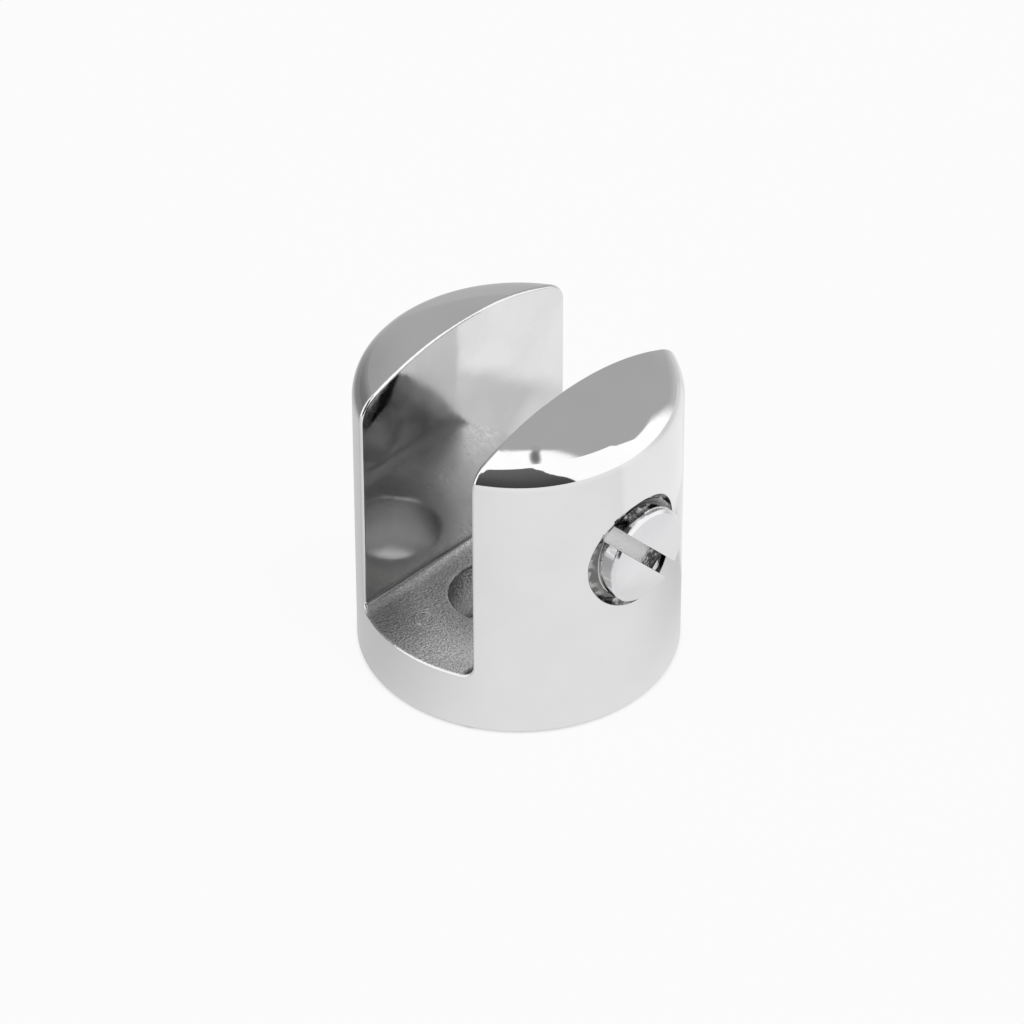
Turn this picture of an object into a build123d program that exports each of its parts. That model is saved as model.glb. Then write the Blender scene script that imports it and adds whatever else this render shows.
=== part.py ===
"""Glass panel clamp.

A round die-cast body with a domed top is cut by a straight slot that takes the edge of a
glass panel. A slotted set screw in one cheek pushes a soft pad against the glass, and a hole
in the slot's floor takes the screw that fixes the body down.

The origin is on the body's axis in its base plane. Z is up, Y runs along the slot, and X
runs across it, towards the cheek that holds the set screw. Lengths are in millimetres.
"""

import os
from math import sqrt

from build123d import *

# Body
body_diameter = 22.0
wall_height = 21.3
dome_radius = 22.0
shoulder_radius = 2.0
slot_width = 10.0
floor_thickness = 4.5
floor_corner_radius = 0.75
edge_radius = 0.2
base_edge_radius = 0.3

# Hole in the slot's floor
fixing_hole_diameter = 6.5
fixing_hole_setback = 2.1
fixing_hole_rim_radius = 0.25

# Set screw, whose driven end is a neck thinner than its thread
screw_height = 12.9
thread_diameter = 8.0
thread_clearance = 0.06
thread_chamfer_share = 0.45
screw_stand_off = 0.85
neck_inset = 0.6
neck_length = 1.3
neck_chamfer = 0.25
driver_slot_width = 1.2
driver_slot_depth = 1.6
driver_slot_angle = -47.0

# Pad on the screw's inner end, a little smaller than the thread so that it passes the hole
pad_inset = 1.0
pad_thickness = 0.8
pad_setback = 0.1
pad_edge_radius = 0.2
pad_gap = 0.05
stem_diameter = 3.0
stem_length = 1.1
stem_chamfer = 0.15

# How far a cut runs past the face that it opens
cut_overrun = 1.0

body_radius = body_diameter / 2
overall_height = wall_height + dome_radius - sqrt(dome_radius**2 - body_radius**2)
slot_half_width = slot_width / 2
thread_radius = thread_diameter / 2
thread_chamfer = neck_inset * thread_chamfer_share
neck_radius = thread_radius - neck_inset
stem_radius = stem_diameter / 2
pad_radius = thread_radius - pad_inset

# Stations along the screw's axis, from the slot outwards
pad_face = slot_half_width + pad_setback
pad_back = pad_face + pad_thickness
screw_inner_end = pad_back + pad_gap
stem_end = screw_inner_end + stem_length
screw_outer_end = body_radius + screw_stand_off
shoulder = screw_outer_end - neck_length

screw_axis = Axis((0, 0, screw_height), (1, 0, 0))
screw_section_plane = Plane(origin=(0, 0, screw_height), x_dir=(1, 0, 0), z_dir=(0, -1, 0))


# The body is one casting: a turned form, then the slot, then the rounded edges and the holes
with BuildPart() as clamp_body:
    with BuildSketch(Plane.XZ) as half_section:
        with BuildLine():
            Line((0, 0), (body_radius, 0))
            Line((body_radius, 0), (body_radius, wall_height))
            RadiusArc((body_radius, wall_height), (0, overall_height), -dome_radius)
            Line((0, overall_height), (0, 0))
        make_face()
        shoulder_corner = half_section.vertices().group_by(Axis.X)[-1].sort_by(Axis.Y)[-1]
        fillet(shoulder_corner, shoulder_radius)
    revolve(axis=Axis.Z)

    with BuildSketch(Plane.XZ) as slot_section:
        with Locations((0, floor_thickness)):
            Rectangle(
                slot_width,
                overall_height - floor_thickness + cut_overrun,
                align=(Align.CENTER, Align.MIN),
            )
        fillet(slot_section.vertices().group_by(Axis.Y)[0], floor_corner_radius)
    extrude(amount=body_radius + cut_overrun, both=True, mode=Mode.SUBTRACT)

    slot_rims = clamp_body.edges(Select.LAST).filter_by(Axis.Y, reverse=True)
    fillet(slot_rims, edge_radius)
    fillet(clamp_body.edges().group_by(Axis.Z)[0], base_edge_radius)

    with BuildSketch(Plane.YZ):
        with Locations((0, screw_height)):
            Circle(thread_radius + thread_clearance)
    extrude(amount=body_radius + cut_overrun, mode=Mode.SUBTRACT)

    with Locations((0, -fixing_hole_setback, floor_thickness)):
        Hole(fixing_hole_diameter / 2)
    hole_rims = clamp_body.edges(Select.LAST).filter_by(GeomType.CIRCLE)
    fillet(hole_rims.sort_by(Axis.Z)[-1], fixing_hole_rim_radius)
clamp_body.part.label = "clamp_body"


# The set screw has a plain neck at the driven end and a socket for the pad's stem at the other
with BuildPart() as clamp_screw:
    with BuildSketch(screw_section_plane):
        with BuildLine():
            Polyline(
                (screw_inner_end, 0),
                (screw_inner_end, thread_radius),
                (shoulder, thread_radius),
                (shoulder, neck_radius),
                (screw_outer_end, neck_radius),
                (screw_outer_end, 0),
                close=True,
            )
        make_face()
    revolve(axis=screw_axis)

    thread_ends = clamp_screw.edges().filter_by(GeomType.CIRCLE).group_by(SortBy.RADIUS)[-1]
    chamfer(thread_ends, thread_chamfer)
    face_rim = clamp_screw.edges().filter_by(GeomType.CIRCLE).sort_by(Axis.X)[-1]
    chamfer(face_rim, neck_chamfer)

    with BuildSketch(Plane(origin=(screw_inner_end, 0, screw_height), x_dir=(0, 1, 0), z_dir=(1, 0, 0))):
        Circle(stem_radius + thread_clearance)
    extrude(amount=stem_length + pad_gap, mode=Mode.SUBTRACT)

    with BuildSketch(Plane(origin=(screw_outer_end, 0, screw_height), x_dir=(0, 1, 0), z_dir=(1, 0, 0))):
        Rectangle(thread_diameter + cut_overrun, driver_slot_width, rotation=driver_slot_angle)
    extrude(amount=-driver_slot_depth, mode=Mode.SUBTRACT)
clamp_screw.part.label = "clamp_screw"


# The pad is a soft disc on a stem that turns in the screw's end, so it doesn't rub the glass
with BuildPart() as pressure_pad:
    with BuildSketch(screw_section_plane):
        with BuildLine():
            Polyline(
                (pad_face, 0),
                (pad_face, pad_radius),
                (pad_back, pad_radius),
                (pad_back, stem_radius),
                (stem_end, stem_radius),
                (stem_end, 0),
                close=True,
            )
        make_face()
    revolve(axis=screw_axis)
    pad_circles = pressure_pad.edges().filter_by(GeomType.CIRCLE).sort_by(Axis.X)
    fillet(pad_circles[0], pad_edge_radius)
    chamfer(pressure_pad.edges().filter_by(GeomType.CIRCLE).sort_by(Axis.X)[-1], stem_chamfer)
pressure_pad.part.label = "pressure_pad"


os.makedirs("parts", exist_ok=True)
export_step(clamp_body.part, "parts/clamp_body.step")
export_step(clamp_screw.part, "parts/clamp_screw.step")
export_step(pressure_pad.part, "parts/pressure_pad.step")
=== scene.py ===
from math import cos, pi, radians, sin, tan

import bpy
from mathutils import Matrix, Vector


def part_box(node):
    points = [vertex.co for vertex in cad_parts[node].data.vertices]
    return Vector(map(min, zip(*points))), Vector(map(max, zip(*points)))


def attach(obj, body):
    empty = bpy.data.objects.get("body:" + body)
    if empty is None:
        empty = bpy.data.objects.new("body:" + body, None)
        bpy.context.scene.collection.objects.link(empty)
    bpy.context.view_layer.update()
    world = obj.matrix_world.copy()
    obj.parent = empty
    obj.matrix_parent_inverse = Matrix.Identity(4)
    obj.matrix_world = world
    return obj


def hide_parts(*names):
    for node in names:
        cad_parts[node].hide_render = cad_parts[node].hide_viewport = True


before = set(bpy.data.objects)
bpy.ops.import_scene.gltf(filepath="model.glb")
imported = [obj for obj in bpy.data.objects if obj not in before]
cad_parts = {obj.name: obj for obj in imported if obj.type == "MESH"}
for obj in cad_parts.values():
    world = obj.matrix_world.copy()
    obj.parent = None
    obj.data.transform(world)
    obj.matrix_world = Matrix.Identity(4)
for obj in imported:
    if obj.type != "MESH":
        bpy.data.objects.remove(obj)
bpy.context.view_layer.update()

MM = 0.001

# Driving sizes of the clamp, read from the frame
body_low, body_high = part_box("clamp_body")
screw_low, screw_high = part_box("clamp_screw")
BODY_RADIUS = (body_high.y - body_low.y) / 2
SCREW_HEIGHT = (screw_low.z + screw_high.z) / 2
THREAD_RADIUS = (screw_high.z - screw_low.z) / 2
SCREW_INNER_END = screw_low.x
SCREW_OUTER_END = screw_high.x

# Slot for the glass, and the fixing hole in its floor
SLOT_HALF_WIDTH = 5.0 * MM
FLOOR_HEIGHT = 4.5 * MM
FLOOR_CORNER = 0.75 * MM
FIXING_HOLE_RADIUS = 3.25 * MM
FIXING_HOLE_SETBACK = 2.1 * MM

# Set screw: an M8 thread, a plain neck and a driver slot
THREAD_PITCH = 1.25 * MM
THREAD_ROOT_RADIUS = 3.32 * MM
THREAD_ROOT_FLAT = 0.286 * MM
THREAD_CHAMFER = 0.27 * MM
FLANK_SLOPE = tan(radians(30))
NECK_RADIUS = 3.4 * MM
NECK_LENGTH = 1.3 * MM
NECK_CHAMFER = 0.25 * MM
SHOULDER = SCREW_OUTER_END - NECK_LENGTH
SOCKET_RADIUS = 1.56 * MM
SOCKET_DEPTH = 1.15 * MM
DRIVER_SLOT_WIDTH = 1.2 * MM
DRIVER_SLOT_DEPTH = 1.6 * MM
DRIVER_SLOT_TURN = radians(-47)

# Thread cut in the cheek round the set screw. It stops short of the slot's face and the round wall.
TAPPED_RADIUS = 4.06 * MM
TAPPED_CREST_RADIUS = 3.47 * MM
TAPPED_SIDE_GAP = 0.03 * MM
TAPPED_END_INSET = 0.3 * MM

# Both helices start a turn and a half before the screw's inner end, and reach past their cylinders
HELIX_START = SCREW_INNER_END - 1.5 * THREAD_PITCH
GROOVE_OVERREACH = 0.05 * MM
RIDGE_OVERREACH = 0.04 * MM

# The low ring that an ejector pin leaves on the slot's floor
EJECTOR_RING_PLACE = (-1.54 * MM, -7.56 * MM, FLOOR_HEIGHT)
EJECTOR_RING_RADIUS = 0.62 * MM
EJECTOR_RING_BEAD = 0.11 * MM
EJECTOR_RING_FLATNESS = 0.6

# How finely the pieces are made, and where their edges stay sharp
LATHE_STEPS = 128
THREAD_STEPS = 96
CHEEK_STEPS = 256
WELD = 0.001 * MM
FINE_WELD = 0.0005 * MM
SHARP_EDGE = radians(32)
SHARP_RING_EDGE = radians(60)

# The camera stands where the photograph was taken from
VIEW_AZIMUTH = radians(44.031)
VIEW_ELEVATION = radians(38.554)
VIEW_ROLL = radians(-0.1526)
VIEW_DISTANCE = 37.013 * BODY_RADIUS
VIEW_FOCAL_PIXELS = 6081.4
PICTURE_PIXELS = 1024
SENSOR_WIDTH = 36
# Where the point on the axis, one radius above the base, lies in the picture
AIM_PIXEL = (518.56, 501.68)

# The studio, in metres
FLOOR_RADIUS = 1.5
FLOOR_DROP = 0.02 * MM
ROOM_RADIUS = 2
FLAG_DISTANCE = 1.2
FLAG_TOP = 1.1
# Directions in it, as azimuth and elevation in degrees. Azimuth 0 is -Y and 90 is +X.
BRIGHT_HALF = (49, 3.4)
LOW_WINDOW = (68, 0)
DARK_WALL = (-80, 0)
LOW_BEHIND = (-178, 0)
BAND_GAP = (172, 83.2)
BAND_NICK = (155, 84.6)
FLAG_CORNERS = [(15, 0), (15.5, 41), (16.3, 61), (40, 71), (61, 74.5),
                (66, 55), (68, 44), (79, 6.5), (80, 0)]
# How bright its parts are
BRIGHT_LIGHT = 1.25
GAP_LIGHT = 0.42
NICK_LIGHT = 0.2
WORLD_LIGHT = 0.5


def grey(value, blue=None):
    """A grey, or one whose blue is a little off."""
    return (value, value, value if blue is None else blue, 1)


# Colours of the finishes, and of the shade painted on them
CHROME, CHROME_HAZED = grey(0.80), grey(0.78, 0.785)
# The slot's darkest chrome is painted shade low in the slot
SLOT_CHROME, SLOT_CHROME_HAZED, SLOT_CHROME_SHADED = grey(0.79), grey(0.74, 0.745), grey(0.72)
# Painted shade below the tapped hole, on the cheek's inner face
SHADE_BELOW_HOLE_COLOUR = grey(0.24)
SKIN, SKIN_PITS, SKIN_HAZED = grey(0.84, 0.835), grey(0.44), grey(0.5)
# Painted shade on the slot's floor; it also darkens the floor round the fixing hole
FLOOR_SHADE_COLOUR = grey(0.2)
# The bore is painted near black as shade, with paler streaks as painted highlights towards its mouth
BORE_PAINTED_DARK, BORE_STREAK_LIGHT = grey(0.07), grey(0.55)
# The screw's darkest steel is streaks of painted shade round its neck and by its shoulder
STEEL, STEEL_HAZED, STEEL_STREAK_SHADE = grey(0.76, 0.77), grey(0.71, 0.725), grey(0.12)
# Painted shade on the screw's thread, darkest in its roots
THREAD_SHADE = (0.17, 0.165, 0.16, 1)
# Painted shade at the lower end of the driver slot
MILLED, SLOT_END_SHADE_COLOUR = grey(0.85), grey(0.07)
NYLON, NYLON_PATCH = (0.87, 0.86, 0.82, 1), (0.8, 0.785, 0.735, 1)
PAPER = grey(0.95)


# Modelling tools

def deselect():
    if bpy.context.object and bpy.context.object.mode != "OBJECT":
        bpy.ops.object.mode_set(mode="OBJECT")
    bpy.ops.object.select_all(action="DESELECT")


def activate(piece):
    """Makes a piece the only one that the next operators act on."""
    deselect()
    piece.select_set(True)
    bpy.context.view_layer.objects.active = piece


def edit_all(piece):
    """Opens a piece with all of it selected."""
    bpy.context.view_layer.objects.active = piece
    bpy.ops.object.mode_set(mode="EDIT")
    bpy.ops.mesh.select_all(action="SELECT")


def weld_all(distance):
    bpy.ops.mesh.select_all(action="SELECT")
    bpy.ops.mesh.remove_doubles(threshold=distance)


def face_outwards():
    """Turns all faces of the open piece outwards and closes it."""
    bpy.ops.mesh.select_all(action="SELECT")
    bpy.ops.mesh.normals_make_consistent(inside=False)
    bpy.ops.object.mode_set(mode="OBJECT")


def finish_piece(piece, sharp_edge):
    """Puts the piece's place into its mesh, turns its faces outwards and smooths them."""
    activate(piece)
    bpy.ops.object.transform_apply(location=True, rotation=True, scale=True)
    edit_all(piece)
    weld_all(FINE_WELD)
    face_outwards()
    bpy.ops.object.shade_smooth_by_angle(angle=sharp_edge)
    return piece


def draw_chain(name, points, origin=(0, 0, 0)):
    """A chain of edges through points that are given from its origin."""
    deselect()
    bpy.ops.mesh.primitive_plane_add(size=MM, location=origin)
    chain = bpy.context.object
    chain.name = name
    edit_all(chain)
    bpy.ops.mesh.merge(type="CENTER")
    bpy.ops.transform.translate(value=points[0])
    for point, next_point in zip(points, points[1:]):
        bpy.ops.mesh.extrude_vertices_move(TRANSFORM_OT_translate={"value": next_point - point})
    bpy.ops.object.mode_set(mode="OBJECT")
    return chain


def draw_outline(name, points):
    """A chain through (along, out) points, in the plane above the screw's axis."""
    return draw_chain(name, [Vector((along, 0, out)) for along, out in points], (0, 0, SCREW_HEIGHT))


def turn(outline):
    """Turns an outline round the screw's axis, as on a lathe."""
    edit_all(outline)
    bpy.ops.mesh.spin(steps=LATHE_STEPS, angle=2 * pi, center=(0, 0, SCREW_HEIGHT), axis=(1, 0, 0))
    weld_all(WELD)
    face_outwards()
    return outline


def wind(name, section, end):
    """Winds a closed section of (along, out) points round the screw's axis, until it is past end."""
    coil = draw_outline(name, section)
    edit_all(coil)
    bpy.ops.mesh.edge_face_add()
    bpy.ops.mesh.delete(type="ONLY_FACE")
    bpy.ops.object.mode_set(mode="OBJECT")
    winding = coil.modifiers.new("winding", "SCREW")
    winding.axis = "X"
    winding.angle = 2 * pi
    winding.screw_offset = THREAD_PITCH
    winding.iterations = round((end - HELIX_START) / THREAD_PITCH) + 1
    winding.steps = winding.render_steps = THREAD_STEPS
    bpy.ops.object.modifier_apply(modifier="winding")
    edit_all(coil)
    weld_all(WELD)
    bpy.ops.mesh.fill_holes(sides=0)
    face_outwards()
    return coil


def combine(piece, tool, operation):
    """Cuts a piece with a tool or keeps what they share, and takes the tool away."""
    activate(piece)
    cut = piece.modifiers.new("cut", "BOOLEAN")
    cut.operation = operation
    cut.solver = "EXACT"
    cut.object = tool
    bpy.ops.object.modifier_apply(modifier="cut")
    bpy.data.objects.remove(tool)


# The set screw, the thread round it and the ring on the floor

def make_set_screw():
    blank = turn(draw_outline("set_screw", [
        (SCREW_INNER_END + SOCKET_DEPTH, 0),
        (SCREW_INNER_END + SOCKET_DEPTH, SOCKET_RADIUS),
        (SCREW_INNER_END, SOCKET_RADIUS),
        (SCREW_INNER_END, THREAD_RADIUS - THREAD_CHAMFER),
        (SCREW_INNER_END + THREAD_CHAMFER, THREAD_RADIUS),
        (SHOULDER - THREAD_CHAMFER, THREAD_RADIUS),
        (SHOULDER, THREAD_RADIUS - THREAD_CHAMFER),
        (SHOULDER, NECK_RADIUS),
        (SCREW_OUTER_END - NECK_CHAMFER, NECK_RADIUS),
        (SCREW_OUTER_END, NECK_RADIUS - NECK_CHAMFER),
        (SCREW_OUTER_END, 0),
    ]))

    # The groove's flanks stand at 60 degrees to each other
    mouth = THREAD_RADIUS + GROOVE_OVERREACH
    half_root = THREAD_ROOT_FLAT / 2
    half_mouth = half_root + (mouth - THREAD_ROOT_RADIUS) * FLANK_SLOPE
    groove = wind("thread_groove", [
        (HELIX_START - half_mouth, mouth),
        (HELIX_START - half_root, THREAD_ROOT_RADIUS),
        (HELIX_START + half_root, THREAD_ROOT_RADIUS),
        (HELIX_START + half_mouth, mouth),
    ], SHOULDER)
    combine(blank, groove, "DIFFERENCE")

    deselect()
    bpy.ops.mesh.primitive_cube_add(size=1, location=(SCREW_OUTER_END, 0, SCREW_HEIGHT),
                                    rotation=(DRIVER_SLOT_TURN, 0, 0))
    cutter = bpy.context.object
    cutter.scale = (2 * DRIVER_SLOT_DEPTH, 3 * THREAD_RADIUS, DRIVER_SLOT_WIDTH)
    bpy.ops.object.transform_apply(location=True, rotation=True, scale=True)
    combine(blank, cutter, "DIFFERENCE")
    return finish_piece(blank, SHARP_EDGE)


def make_tapped_thread():
    """The ridge left in the cheek between the turns of the tapped hole."""
    base = TAPPED_RADIUS + RIDGE_OVERREACH
    half_crest = THREAD_ROOT_FLAT / 2 + (TAPPED_CREST_RADIUS - THREAD_ROOT_RADIUS) * FLANK_SLOPE
    half_crest -= TAPPED_SIDE_GAP
    half_base = half_crest + (base - TAPPED_CREST_RADIUS) * FLANK_SLOPE
    ridge = wind("tapped_thread", [
        (HELIX_START - half_base, base),
        (HELIX_START - half_crest, TAPPED_CREST_RADIUS),
        (HELIX_START + half_crest, TAPPED_CREST_RADIUS),
        (HELIX_START + half_base, base),
    ], BODY_RADIUS)

    deselect()
    bpy.ops.mesh.primitive_cylinder_add(vertices=CHEEK_STEPS, radius=BODY_RADIUS - TAPPED_END_INSET,
                                        depth=2 * BODY_RADIUS, location=(0, 0, SCREW_HEIGHT))
    cheek = bpy.context.object
    edit_all(cheek)
    bpy.ops.mesh.bisect(plane_co=(SLOT_HALF_WIDTH + TAPPED_END_INSET, 0, 0), plane_no=(1, 0, 0),
                        use_fill=True, clear_inner=True)
    bpy.ops.object.mode_set(mode="OBJECT")
    combine(ridge, cheek, "INTERSECT")
    return finish_piece(ridge, SHARP_EDGE)


def make_ejector_ring():
    deselect()
    bpy.ops.mesh.primitive_torus_add(major_radius=EJECTOR_RING_RADIUS, minor_radius=EJECTOR_RING_BEAD,
                                     major_segments=48, minor_segments=12,
                                     location=EJECTOR_RING_PLACE)
    ring = bpy.context.object
    ring.name = "ejector_ring"
    edit_all(ring)
    bpy.ops.transform.resize(value=(1, 1, EJECTOR_RING_FLATNESS))
    bpy.ops.object.mode_set(mode="OBJECT")
    return finish_piece(ring, SHARP_RING_EDGE)


# Tools for materials

def node(tree, kind, **settings):
    made = tree.nodes.new(kind)
    for name, value in settings.items():
        setattr(made, name, value)
    return made


def feed(tree, socket, value):
    """Links a socket to another one, or writes a plain value on it."""
    if isinstance(value, bpy.types.NodeSocket):
        tree.links.new(value, socket)
    else:
        socket.default_value = value


def compute(tree, operation, *values):
    made = node(tree, "ShaderNodeMath", operation=operation)
    for socket, value in zip(made.inputs, values):
        feed(tree, socket, value)
    return made.outputs[0]


def compute_all(tree, operation, first, *others):
    """Takes any number of values into one result, one after the other."""
    for other in others:
        first = compute(tree, operation, first, other)
    return first


def times(tree, *values):
    return compute_all(tree, "MULTIPLY", *values)


def plus(tree, *values):
    return compute_all(tree, "ADD", *values)


def largest(tree, *values):
    return compute_all(tree, "MAXIMUM", *values)


def length_of(tree, first, second):
    squares = plus(tree, times(tree, first, first), times(tree, second, second))
    return compute(tree, "SQRT", squares)


def ramp(tree, value, low, high, to_low=0.0, to_high=1.0):
    """Runs smoothly from to_low at low to to_high at high."""
    made = node(tree, "ShaderNodeMapRange", interpolation_type="SMOOTHSTEP")
    feed(tree, made.inputs["Value"], value)
    for name, number in (("From Min", low), ("From Max", high), ("To Min", to_low), ("To Max", to_high)):
        feed(tree, made.inputs[name], number)
    return made.outputs["Result"]


def spread(tree, share, at_none, at_full):
    """Runs smoothly from one number to another as a share goes from 0 to 1."""
    return ramp(tree, share, 0, 1, at_none, at_full)


def blend(tree, share, first, second, kind="FLOAT"):
    made = node(tree, "ShaderNodeMix", data_type=kind)
    sockets = {s.name: s for s in made.inputs if s.enabled}
    feed(tree, sockets["Factor"], share)
    feed(tree, sockets["A"], first)
    feed(tree, sockets["B"], second)
    return next(s for s in made.outputs if s.enabled)


def tint(tree, share, first, second):
    """Goes from one colour to another."""
    return blend(tree, share, first, second, "RGBA")


def grain(tree, place, size, detail=2.0):
    """Noise whose lumps are about size across."""
    made = node(tree, "ShaderNodeTexNoise")
    feed(tree, made.inputs["Vector"], place)
    feed(tree, made.inputs["Scale"], 1 / size)
    feed(tree, made.inputs["Detail"], detail)
    return made.outputs["Fac"]


def coordinates(tree, place):
    parts = node(tree, "ShaderNodeSeparateXYZ")
    feed(tree, parts.inputs[0], place)
    return parts.outputs


def object_place(tree, offset=(0, 0, 0)):
    made = node(tree, "ShaderNodeTexCoord").outputs["Object"]
    if any(offset):
        mapping = node(tree, "ShaderNodeMapping")
        feed(tree, mapping.inputs["Vector"], made)
        mapping.inputs["Location"].default_value = offset
        made = mapping.outputs["Vector"]
    return made


def from_fixing_hole(tree, x, y):
    """How far a place lies from the fixing hole's axis."""
    return length_of(tree, x, plus(tree, y, FIXING_HOLE_SETBACK))


def bump(tree, shader, height, depth):
    made = node(tree, "ShaderNodeBump")
    feed(tree, made.inputs["Height"], height)
    feed(tree, made.inputs["Distance"], depth)
    feed(tree, made.inputs["Strength"], 1.0)
    feed(tree, shader.inputs["Normal"], made.outputs["Normal"])


# Effects that the materials share

def new_group(name, inputs, outputs):
    group = bpy.data.node_groups.new(name, "ShaderNodeTree")
    for label, kind, value in inputs:
        socket = group.interface.new_socket(label, in_out="INPUT", socket_type=kind)
        if value is not None:
            socket.default_value = value
    for label in outputs:
        group.interface.new_socket(label, in_out="OUTPUT", socket_type="NodeSocketFloat")
    return group, group.nodes.new("NodeGroupInput"), group.nodes.new("NodeGroupOutput")


def place_group(tree, group, **values):
    made = node(tree, "ShaderNodeGroup", node_tree=group)
    for name, value in values.items():
        feed(tree, made.inputs[name.replace("_", " ")], value)
    return made.outputs


def build_plating():
    """Bright plate: slow waves from polishing, a fine peel and a faint haze."""
    group, given, made = new_group("bright_plating", [
        ("Vector", "NodeSocketVector", None),
        ("Wave Share", "NodeSocketFloat", 1.0),
    ], ["Height", "Haze"])
    place = given.outputs["Vector"]
    waves = times(group, grain(group, place, 3.2 * MM, 1.0), given.outputs["Wave Share"])
    peel = times(group, grain(group, place, 0.9 * MM), 0.12)
    feed(group, made.inputs["Height"], plus(group, waves, peel))
    feed(group, made.inputs["Haze"], ramp(group, grain(group, place, 5.0 * MM, 4.0), 0.35, 0.65))
    return group


def build_cast_skin():
    """The skin of a die casting that was never polished: grains with small pits between them."""
    group, given, made = new_group("cast_skin", [
        ("Vector", "NodeSocketVector", None),
        ("Grain Size", "NodeSocketFloat", 0.3 * MM),
    ], ["Height", "Pits"])
    place = given.outputs["Vector"]
    per_size = compute(group, "DIVIDE", 1.0, given.outputs["Grain Size"])
    grains = node(group, "ShaderNodeTexVoronoi", feature="SMOOTH_F1")
    feed(group, grains.inputs["Vector"], place)
    feed(group, grains.inputs["Scale"], per_size)
    feed(group, grains.inputs["Smoothness"], 0.6)
    dust = node(group, "ShaderNodeTexNoise")
    feed(group, dust.inputs["Vector"], place)
    feed(group, dust.inputs["Scale"], times(group, per_size, 1.7))
    feed(group, dust.inputs["Detail"], 4.0)
    height = plus(group, times(group, grains.outputs["Distance"], 0.8), dust.outputs["Fac"])
    feed(group, made.inputs["Height"], height)
    feed(group, made.inputs["Pits"], ramp(group, dust.outputs["Fac"], 0.66, 0.36))
    return group


def build_light_and_shade_streaks():
    """Streaks along X, which paint light and shade in a hole's mouth and round a screw's neck."""
    group, given, made = new_group("light_and_shade_streaks", [
        ("Vector", "NodeSocketVector", None),
        ("Size", "NodeSocketFloat", 0.8 * MM),
    ], ["Streaks"])
    stretched = node(group, "ShaderNodeMapping")
    feed(group, stretched.inputs["Vector"], given.outputs["Vector"])
    stretched.inputs["Scale"].default_value = (0.3, 1, 1)
    lumps = node(group, "ShaderNodeTexNoise")
    feed(group, lumps.inputs["Vector"], stretched.outputs["Vector"])
    feed(group, lumps.inputs["Scale"], compute(group, "DIVIDE", 1.0, given.outputs["Size"]))
    feed(group, lumps.inputs["Detail"], 3.0)
    feed(group, made.inputs["Streaks"], ramp(group, lumps.outputs["Fac"], 0.44, 0.56))
    return group


def build_turning_marks():
    """Fine rings that a lathe leaves round the X axis."""
    group, given, made = new_group("turning_marks", [
        ("Vector", "NodeSocketVector", None),
        ("Spacing", "NodeSocketFloat", 0.08 * MM),
    ], ["Height"])
    x, y, z = coordinates(group, given.outputs["Vector"])
    along = plus(group, length_of(group, y, z), x)
    rings = node(group, "ShaderNodeTexNoise", noise_dimensions="1D")
    feed(group, rings.inputs["W"], compute(group, "DIVIDE", along, given.outputs["Spacing"]))
    feed(group, rings.inputs["Scale"], 1.0)
    feed(group, rings.inputs["Detail"], 2.0)
    feed(group, made.inputs["Height"], rings.outputs["Fac"])
    return group


# Finishes

def new_material(name, colour, metallic, roughness):
    material = bpy.data.materials.new(name)
    material.use_nodes = True
    tree = material.node_tree
    shader = tree.nodes["Principled BSDF"]
    shader.inputs["Base Color"].default_value = (*colour, 1)
    shader.inputs["Metallic"].default_value = metallic
    shader.inputs["Roughness"].default_value = roughness
    return material, tree, shader


def shade_below_tapped_hole(tree, place, x, y, z):
    """Painted shade below the tapped hole: a blotched dark patch with a slanted edge, which the other
    cheek mirrors as a dark cloud.
    """
    ragged = times(tree, grain(tree, place, 4.0 * MM, 3.0), 2.4 * MM)
    slant = plus(tree, times(tree, y, 0.786), times(tree, z, 0.619))
    below_edge = ramp(tree, plus(tree, slant, ragged), 11.0 * MM, 9.9 * MM)
    behind = ramp(tree, plus(tree, y, ragged), -2.5 * MM, 0.5 * MM)
    on_cheek = ramp(tree, x, SLOT_HALF_WIDTH - 0.1 * MM, SLOT_HALF_WIDTH)
    blotches = ramp(tree, grain(tree, place, 2.6 * MM), 0.4, 0.6, 0.6, 0.94)
    return times(tree, below_edge, behind, on_cheek, blotches)


def floor_shade(tree, x, y, from_axis):
    """Darker round the fixing hole, with painted shade in the corner under the set screw and towards the
    left along the rim.
    """
    round_hole = ramp(tree, from_fixing_hole(tree, x, y), 7.0 * MM, 3.4 * MM, 0, 0.6)
    in_corner = ramp(tree, x, 4.1 * MM, 4.7 * MM, 0, 0.9)
    on_left = ramp(tree, x, 2.5 * MM, -3.0 * MM)
    at_rim = ramp(tree, from_axis, 7.0 * MM, 9.5 * MM, 0.35, 0.72)
    return largest(tree, round_hole, in_corner, times(tree, on_left, at_rim))


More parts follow.
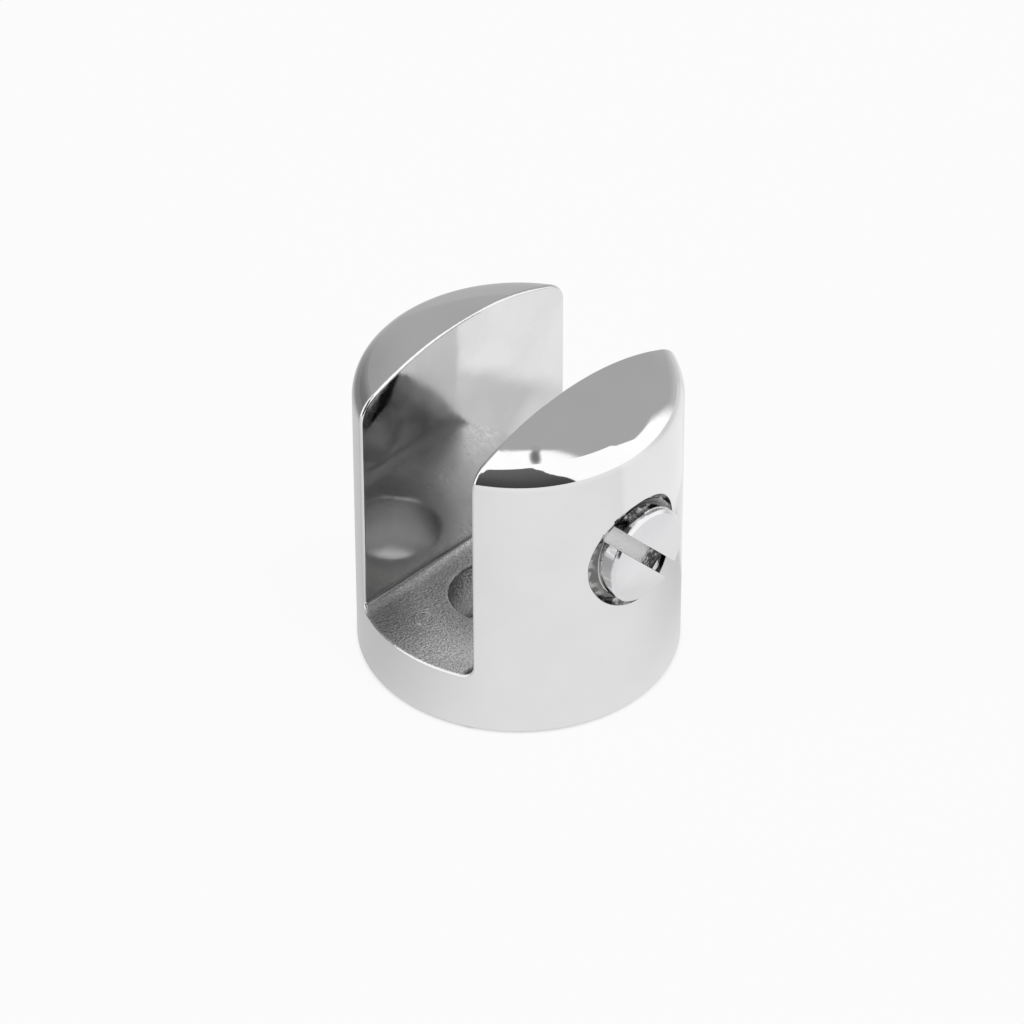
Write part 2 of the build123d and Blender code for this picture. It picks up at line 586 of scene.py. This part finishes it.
def plated_casting(plating, cast_skin, light_and_shade_streaks):
    """Chrome on the casting: bright outside, duller in the slot and darkened low in it with painted
    shade, raw on its floor and in the bore, whose raw metal is painted near black as shade.
    """
    material, tree, shader = new_material("plated_casting", (0.8, 0.8, 0.8), 1, 0.05)
    place = object_place(tree)
    x, y, z = coordinates(tree, place)
    from_axis = length_of(tree, x, y)

    # The slot, its raw floor, the tapped hole, and the low part of the slot, where the polish is duller
    # and painted shade darkens the chrome
    between_cheeks = ramp(tree, compute(tree, "ABSOLUTE", x),
                          SLOT_HALF_WIDTH + 0.1 * MM, SLOT_HALF_WIDTH + 0.02 * MM)
    in_wall = ramp(tree, from_axis, BODY_RADIUS - 0.02 * MM, BODY_RADIUS - 0.15 * MM)
    in_slot = times(tree, between_cheeks, in_wall)
    # The raw skin climbs higher in the corner under the set screw
    lift = ramp(tree, x, -1.0 * MM, 1.0 * MM, 0, 0.6 * FLOOR_CORNER)
    low = ramp(tree, compute(tree, "SUBTRACT", z, lift),
               FLOOR_HEIGHT + 0.55 * FLOOR_CORNER, FLOOR_HEIGHT + 0.15 * FLOOR_CORNER)
    on_floor = times(tree, in_slot, low)
    from_screw = length_of(tree, compute(tree, "SUBTRACT", z, SCREW_HEIGHT), y)
    in_bore = times(tree, ramp(tree, from_screw, TAPPED_RADIUS + 0.03 * MM, TAPPED_RADIUS + 0.01 * MM),
                    ramp(tree, x, SLOT_HALF_WIDTH + 0.02 * MM, SLOT_HALF_WIDTH + 0.1 * MM))
    raw = largest(tree, on_floor, in_bore)
    deep = times(tree, in_slot, ramp(tree, z, 12.5 * MM, 7.5 * MM))

    plate = place_group(tree, plating, Vector=place, Wave_Share=1.0)
    skin = place_group(tree, cast_skin, Vector=place, Grain_Size=0.22 * MM)
    streak_mask = place_group(tree, light_and_shade_streaks, Vector=place, Size=1.0 * MM)["Streaks"]
    streaks_at_mouth = times(tree, streak_mask, ramp(tree, x, 8.5 * MM, 9.8 * MM))

    outside = tint(tree, plate["Haze"], CHROME, CHROME_HAZED)
    inside = tint(tree, plate["Haze"], SLOT_CHROME, SLOT_CHROME_HAZED)
    # Painted shade darkens the slot's chrome towards its floor
    inside = tint(tree, deep, inside, SLOT_CHROME_SHADED)
    # Painted shade below the tapped hole
    inside = tint(tree, shade_below_tapped_hole(tree, place, x, y, z), inside, SHADE_BELOW_HOLE_COLOUR)
    floor = tint(tree, skin["Pits"], SKIN, SKIN_PITS)
    floor = tint(tree, times(tree, plate["Haze"], 0.5), floor, SKIN_HAZED)
    # Painted shade in the floor's corner and towards its left, and darker round the fixing hole
    floor = tint(tree, floor_shade(tree, x, y, from_axis), floor, FLOOR_SHADE_COLOUR)
    # The bore's raw metal is painted near black as shade, with paler streaks of painted highlight towards
    # its mouth
    bore = tint(tree, streaks_at_mouth, BORE_PAINTED_DARK, BORE_STREAK_LIGHT)
    polished = tint(tree, in_slot, outside, inside)
    unpolished = tint(tree, in_bore, floor, bore)
    feed(tree, shader.inputs["Base Color"], tint(tree, raw, polished, unpolished))

    outside_rough = spread(tree, plate["Haze"], 0.035, 0.06)
    inside_rough = blend(tree, deep, spread(tree, plate["Haze"], 0.05, 0.1), 0.17)
    polished_rough = blend(tree, in_slot, outside_rough, inside_rough)
    unpolished_rough = blend(tree, in_bore, 0.3, 0.2)
    feed(tree, shader.inputs["Roughness"], blend(tree, raw, polished_rough, unpolished_rough))

    waves = times(tree, plate["Height"], blend(tree, in_slot, 0.35, 0.9))
    grains = times(tree, skin["Height"], 1.8)
    bump(tree, shader, blend(tree, on_floor, waves, grains), 0.02 * MM)
    return material


def plated_screw(plating, turning_marks, light_and_shade_streaks):
    """Bright plated steel with lathe marks, with painted shade on its thread, darkest in the roots, dark
    streaks of painted shade round the neck, and a milled driver slot with painted shade at its lower end.
    """
    material, tree, shader = new_material("plated_screw", (0.8, 0.8, 0.81), 1, 0.1)
    place = object_place(tree, (0, 0, -SCREW_HEIGHT))
    x, y, z = coordinates(tree, place)
    out = length_of(tree, y, z)

    # The thread, its roots, the neck's side with the thread's end, and the walls of the driver slot
    threaded = ramp(tree, x, SHOULDER + 0.1 * MM, SHOULDER)
    root = times(tree, threaded, ramp(tree, out, THREAD_RADIUS, THREAD_ROOT_RADIUS, 0.5, 1.0))
    round_neck = times(tree, ramp(tree, x, SHOULDER - 0.6 * MM, SHOULDER - 0.4 * MM),
                       ramp(tree, out, NECK_RADIUS - 0.12 * MM, NECK_RADIUS - 0.03 * MM))
    milled = times(tree, ramp(tree, x, SCREW_OUTER_END - 0.1 * MM, SCREW_OUTER_END - 0.3 * MM),
                   ramp(tree, out, NECK_RADIUS, NECK_RADIUS - 0.05 * MM))
    # Painted shade, in blotches, darkens the lower end of the driver slot
    along_slot = compute(tree, "SUBTRACT", times(tree, y, cos(DRIVER_SLOT_TURN)),
                         times(tree, z, -sin(DRIVER_SLOT_TURN)))
    shade_blotches = ramp(tree, grain(tree, place, 0.28 * MM, 3.0), 0.6, 0.48, 0.4, 1.0)
    slot_end_shade = times(tree, ramp(tree, along_slot, 1.8 * MM, 2.4 * MM), shade_blotches)

    plate = place_group(tree, plating, Vector=place, Wave_Share=0.5)
    marks = place_group(tree, turning_marks, Vector=place, Spacing=0.07 * MM)
    streak_mask = place_group(tree, light_and_shade_streaks, Vector=place, Size=0.7 * MM)["Streaks"]
    streak_mask = times(tree, streak_mask, blend(tree, threaded, 0.4, 0.95))

    colour = tint(tree, plate["Haze"], STEEL, STEEL_HAZED)
    # Dark streaks of painted shade round the neck and on the thread by the shoulder
    colour = tint(tree, times(tree, round_neck, streak_mask), colour, STEEL_STREAK_SHADE)
    # Painted shade on the thread, darkest in its roots
    colour = tint(tree, root, colour, THREAD_SHADE)
    milled_colour = tint(tree, slot_end_shade, MILLED, SLOT_END_SHADE_COLOUR)
    milled_share = times(tree, milled, spread(tree, slot_end_shade, 0.7, 1.0))
    feed(tree, shader.inputs["Base Color"], tint(tree, milled_share, colour, milled_colour))

    rough = blend(tree, root, spread(tree, plate["Haze"], 0.07, 0.14), 0.35)
    feed(tree, shader.inputs["Roughness"], blend(tree, milled, rough, 0.3))

    chatter = times(tree, grain(tree, place, 0.16 * MM, 3.0), 7.0, milled)
    height = plus(tree, plate["Height"], times(tree, marks["Height"], 0.25), chatter)
    bump(tree, shader, height, 0.008 * MM)
    return material


def nylon_pad(turning_marks):
    """Natural nylon: warm white, a little uneven, with turning marks."""
    material, tree, shader = new_material("nylon_pad", (0.86, 0.85, 0.81), 0, 0.45)
    shader.inputs["Subsurface Weight"].default_value = 0.15
    shader.inputs["Subsurface Scale"].default_value = 0.4 * MM
    place = object_place(tree, (0, 0, -SCREW_HEIGHT))
    patches = ramp(tree, grain(tree, place, 1.1 * MM, 3.0), 0.35, 0.65)
    feed(tree, shader.inputs["Base Color"], tint(tree, patches, NYLON, NYLON_PATCH))
    feed(tree, shader.inputs["Roughness"], spread(tree, patches, 0.4, 0.55))
    marks = place_group(tree, turning_marks, Vector=place, Spacing=0.1 * MM)
    bump(tree, shader, marks["Height"], 0.01 * MM)
    return material


def dress(piece, material):
    piece.data.materials.clear()
    piece.data.materials.append(material)


def redress(name, material):
    """Gives a CAD node a better finish."""
    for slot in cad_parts[name].material_slots:
        slot.material = material


# The studio

def from_angles(azimuth, elevation, distance=1):
    azimuth, elevation = radians(azimuth), radians(elevation)
    return distance * Vector((sin(azimuth) * cos(elevation),
                              -cos(azimuth) * cos(elevation),
                              sin(elevation)))


def new_glow(name):
    """A material that glows, with its tree and its glow. Cycles doesn't take it for a lamp."""
    material = bpy.data.materials.new(name)
    material.use_nodes = True
    material.cycles.emission_sampling = "NONE"
    tree = material.node_tree
    tree.nodes.clear()
    return material, tree, node(tree, "ShaderNodeEmission")


def put_out(tree, shader):
    feed(tree, node(tree, "ShaderNodeOutputMaterial").inputs["Surface"], shader.outputs[0])


def shown_rays(tree):
    """1 for what the camera sees straight, in metal or through glass, and the paths of light."""
    path = node(tree, "ShaderNodeLightPath").outputs
    return largest(tree, path["Is Camera Ray"], path["Is Glossy Ray"], path["Is Transmission Ray"]), path


def mirrored_floor(tree, x, y, away):
    """How bright the floor is where only metal mirrors it. It greys with direction and distance: a
    painted shadow of the clamp lies round it, lightest towards the right and lifted only farther off
    behind and to the back left, and far off it is brighter towards the light and darker to the left.
    """
    def towards(azimuth):
        """How far a place lies in a direction, from -1 to 1."""
        aim = from_angles(azimuth, 0)
        along = plus(tree, times(tree, x, aim.x), times(tree, y, aim.y))
        return compute(tree, "DIVIDE", along, away)

    # Painted shadow of the clamp on the floor close round it
    right = ramp(tree, towards(68), -0.2, 1.0, 0.62, 0.94)
    behind = times(tree, ramp(tree, away, 17 * MM, 24 * MM), ramp(tree, towards(145), 0.55, 0.85))
    back_left = times(tree, ramp(tree, away, 11 * MM, 14 * MM),
                      ramp(tree, towards(-172), 0.75, 0.93, 0, 0.88))
    near = largest(tree, right, behind, back_left)
    far = ramp(tree, away, 45 * MM, 130 * MM, 1.0, ramp(tree, towards(45), -0.3, 0.3, 0.78, 1.06))
    left = blend(tree, ramp(tree, away, 30 * MM, 70 * MM), 1.0,
                 ramp(tree, towards(-80), 0.76, 1.0, 1.0, 0.4))
    return times(tree, far, left, near)


def make_floor():
    """A pale floor that keeps the clamp's shadow. Elsewhere the camera sees it as white."""
    deselect()
    bpy.ops.mesh.primitive_circle_add(vertices=128, radius=FLOOR_RADIUS, fill_type="NGON",
                                      location=(0, 0, -FLOOR_DROP))
    floor = bpy.context.object
    floor.name = "floor"
    material, tree, glow = new_glow("pale_floor")
    x, y, _ = coordinates(tree, object_place(tree))
    away = length_of(tree, x, y)
    shown, path = shown_rays(tree)
    paper = node(tree, "ShaderNodeBsdfDiffuse")
    paper.inputs["Color"].default_value = PAPER
    strength = blend(tree, path["Is Camera Ray"], mirrored_floor(tree, x, y, away), 1.0)
    feed(tree, glow.inputs["Strength"], strength)

    # Under the clamp the floor has no light of its own, save what shows through the fixing hole
    clear = ramp(tree, away, 0.95 * BODY_RADIUS, 1.02 * BODY_RADIUS, 0, 0.9)
    in_hole = ramp(tree, from_fixing_hole(tree, x, y),
                   0.97 * FIXING_HOLE_RADIUS, 0.75 * FIXING_HOLE_RADIUS, 0, 0.9)
    mixed = node(tree, "ShaderNodeMixShader")
    feed(tree, mixed.inputs["Fac"], times(tree, shown, largest(tree, clear, in_hole)))
    feed(tree, mixed.inputs[1], paper.outputs[0])
    feed(tree, mixed.inputs[2], glow.outputs[0])
    put_out(tree, mixed)
    dress(floor, material)


def stage_unseen(card):
    """A card of the studio lights the clamp and shows in its metal, but stands out of the picture."""
    card.visible_camera = False
    card.visible_shadow = False


def make_room():
    """The studio: bright on the camera's side, from just behind the zenith, and grey behind the clamp."""
    deselect()
    bpy.ops.mesh.primitive_uv_sphere_add(segments=64, ring_count=32, radius=ROOM_RADIUS)
    room = bpy.context.object
    room.name = "room"
    material, tree, glow = new_glow("room_light")
    direction = node(tree, "ShaderNodeVectorMath", operation="NORMALIZE")
    feed(tree, direction.inputs[0], object_place(tree))
    upward = coordinates(tree, direction.outputs[0])["Z"]

    def facing(azimuth, elevation):
        """The cosine of the angle from a direction."""
        made = node(tree, "ShaderNodeVectorMath", operation="DOT_PRODUCT")
        feed(tree, made.inputs[0], direction.outputs[0])
        made.inputs[1].default_value = from_angles(azimuth, elevation)
        return made.outputs["Value"]

    def spot(angles, outer, inner):
        """1 within the inner angle of a direction, in degrees, and 0 past the outer one."""
        return ramp(tree, facing(*angles), cos(radians(outer)), cos(radians(inner)))

    overhead = ramp(tree, facing(*BRIGHT_HALF), -0.012, 0.012)
    low_window = times(tree, ramp(tree, facing(*LOW_WINDOW), -0.22, 0.02), ramp(tree, upward, 0.68, 0.62))
    # The wall on the left is darker than the rest of the room
    wall = ramp(tree, facing(*DARK_WALL), 0.76, 1.0, 0.46, 0.2)
    low_behind = times(tree, ramp(tree, facing(*LOW_BEHIND), 0.8, 0.97),
                       ramp(tree, upward, 0.4, 0.0, 0.0, 0.14))
    light = blend(tree, largest(tree, overhead, low_window), plus(tree, wall, low_behind), BRIGHT_LIGHT)
    # Two dim spots break the white band on the dome
    light = blend(tree, spot(BAND_GAP, 2.0, 0.7), light, GAP_LIGHT)
    light = blend(tree, spot(BAND_NICK, 2.2, 0.5), light, NICK_LIGHT)
    feed(tree, glow.inputs["Strength"], light)
    put_out(tree, glow)
    dress(room, material)
    stage_unseen(room)


def make_dark_flag():
    """A dark flag below the camera, which gives the shoulder its dark line."""
    flag = draw_chain("dark_flag", [from_angles(*corner, FLAG_DISTANCE) for corner in FLAG_CORNERS])
    edit_all(flag)
    bpy.ops.mesh.edge_face_add()
    bpy.ops.object.mode_set(mode="OBJECT")
    material, tree, glow = new_glow("dark_cloth")
    height = coordinates(tree, object_place(tree))["Z"]
    feed(tree, glow.inputs["Strength"], ramp(tree, height, 0, FLAG_TOP, 0.065, 0.15))
    put_out(tree, glow)
    dress(flag, material)
    stage_unseen(flag)


def make_world():
    """White wherever the camera, metal or glass sees past the studio."""
    world = bpy.data.worlds.new("world")
    bpy.context.scene.world = world
    world.use_nodes = True
    tree = world.node_tree
    background = tree.nodes["Background"]
    background.inputs["Color"].default_value = grey(1)
    feed(tree, background.inputs["Strength"], blend(tree, shown_rays(tree)[0], WORLD_LIGHT, 1.0))


def add_camera():
    back = Vector((sin(VIEW_AZIMUTH) * cos(VIEW_ELEVATION),
                   -cos(VIEW_AZIMUTH) * cos(VIEW_ELEVATION),
                   sin(VIEW_ELEVATION)))
    level = Vector((cos(VIEW_AZIMUTH), sin(VIEW_AZIMUTH), 0))
    upright = back.cross(level)
    right = cos(VIEW_ROLL) * level + sin(VIEW_ROLL) * upright
    up = cos(VIEW_ROLL) * upright - sin(VIEW_ROLL) * level
    per_pixel = VIEW_DISTANCE / VIEW_FOCAL_PIXELS
    centre = PICTURE_PIXELS / 2
    place = (Vector((0, 0, BODY_RADIUS)) + back * VIEW_DISTANCE
             - right * (AIM_PIXEL[0] - centre) * per_pixel
             + up * (AIM_PIXEL[1] - centre) * per_pixel)
    data = bpy.data.cameras.new("camera")
    data.sensor_width = SENSOR_WIDTH
    data.lens = VIEW_FOCAL_PIXELS / PICTURE_PIXELS * SENSOR_WIDTH
    camera = bpy.data.objects.new("camera", data)
    bpy.context.scene.collection.objects.link(camera)
    camera.matrix_world = Matrix((
        (right.x, up.x, back.x, place.x),
        (right.y, up.y, back.y, place.y),
        (right.z, up.z, back.z, place.z),
        (0, 0, 0, 1)))
    bpy.context.scene.camera = camera


# Everything in its place

plating, cast_skin, turning_marks = build_plating(), build_cast_skin(), build_turning_marks()
light_and_shade_streaks = build_light_and_shade_streaks()
casting_finish = plated_casting(plating, cast_skin, light_and_shade_streaks)
screw_finish = plated_screw(plating, turning_marks, light_and_shade_streaks)
pad_finish = nylon_pad(turning_marks)

redress("clamp_body", casting_finish)
redress("pressure_pad", pad_finish)

set_screw = make_set_screw()
dress(set_screw, screw_finish)
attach(set_screw, "screw")
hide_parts("clamp_screw")

tapped_thread = make_tapped_thread()
dress(tapped_thread, casting_finish)
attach(tapped_thread, "body")

ejector_ring = make_ejector_ring()
dress(ejector_ring, casting_finish)
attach(ejector_ring, "body")

make_floor()
make_room()
make_dark_flag()
make_world()
add_camera()
bpy.context.scene.view_settings.view_transform = "Standard"
